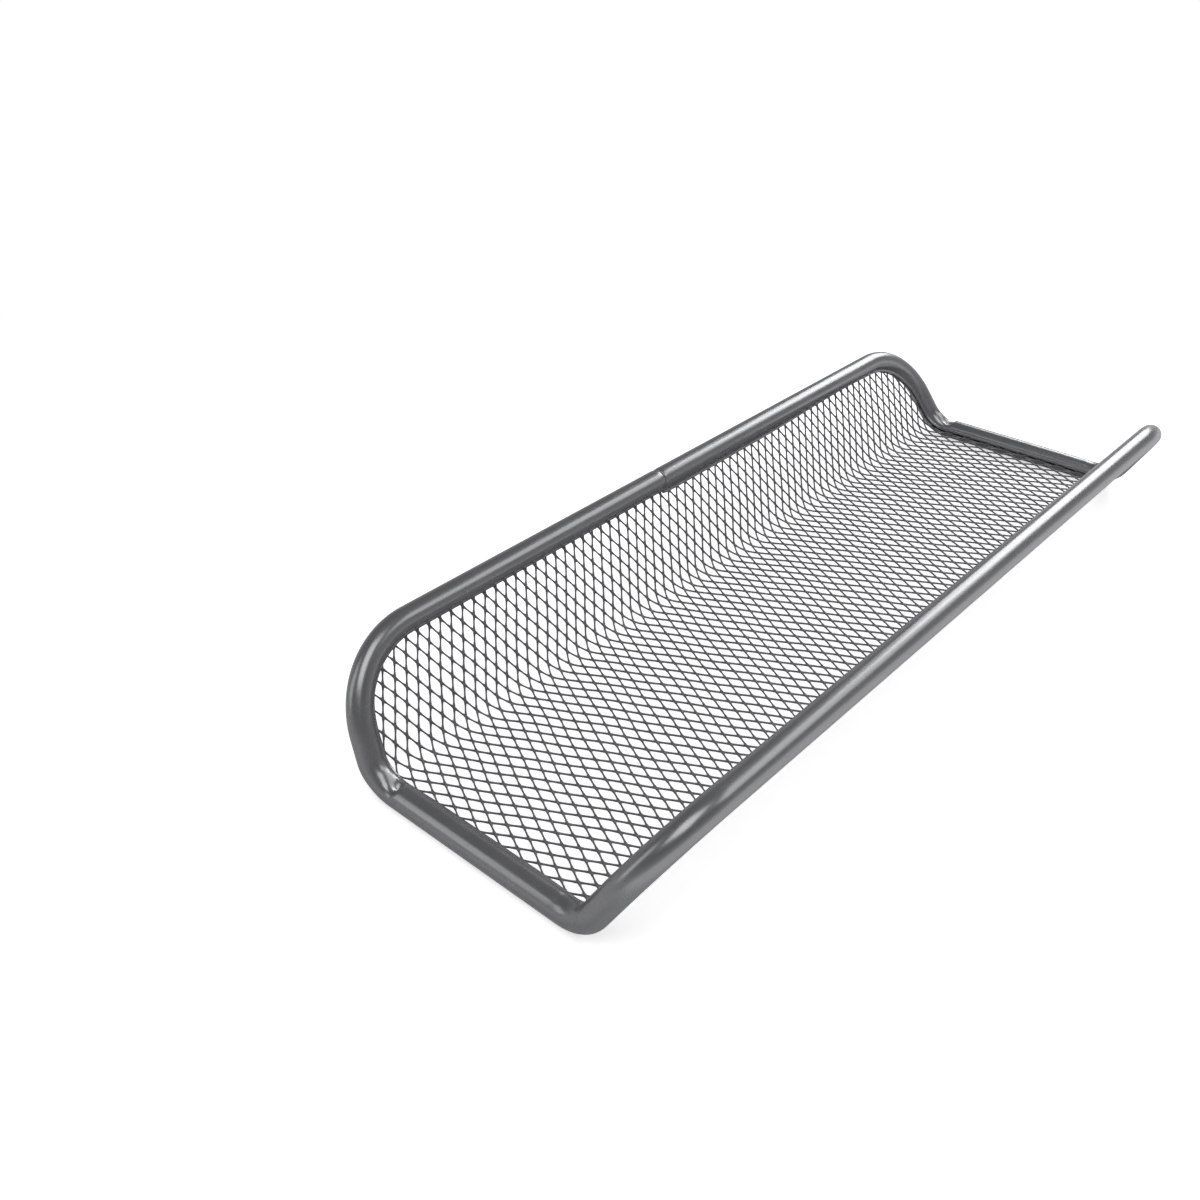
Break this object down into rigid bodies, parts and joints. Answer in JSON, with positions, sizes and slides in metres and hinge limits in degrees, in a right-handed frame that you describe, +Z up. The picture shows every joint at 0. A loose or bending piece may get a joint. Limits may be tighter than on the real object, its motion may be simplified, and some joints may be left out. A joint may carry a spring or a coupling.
{
  "type": "pen tray",
  "caption": "Long open-ended desk tray of diamond metal mesh with a flat floor, two walls leaning outwards and a rolled metal rim all round.",
  "frame": {"origin": "on the desk, under the middle of the tray", "axes": "+X along the tray, +Y across it towards the wall with the seam, +Z up"},
  "size_m": [0.2576, 0.1006, 0.0325],
  "materials": {
    "mesh_steel": "satin grey enamel on expanded steel",
    "rim_steel": "satin metallic grey enamel on rolled steel strip",
    "pin_steel": "bare drawn wire"
  },
  "bodies": {
    "root": {"mesh_sheet": "mesh_steel", "rim_strip": "rim_steel", "seam_pin": "pin_steel"}
  },
  "joints": []
}
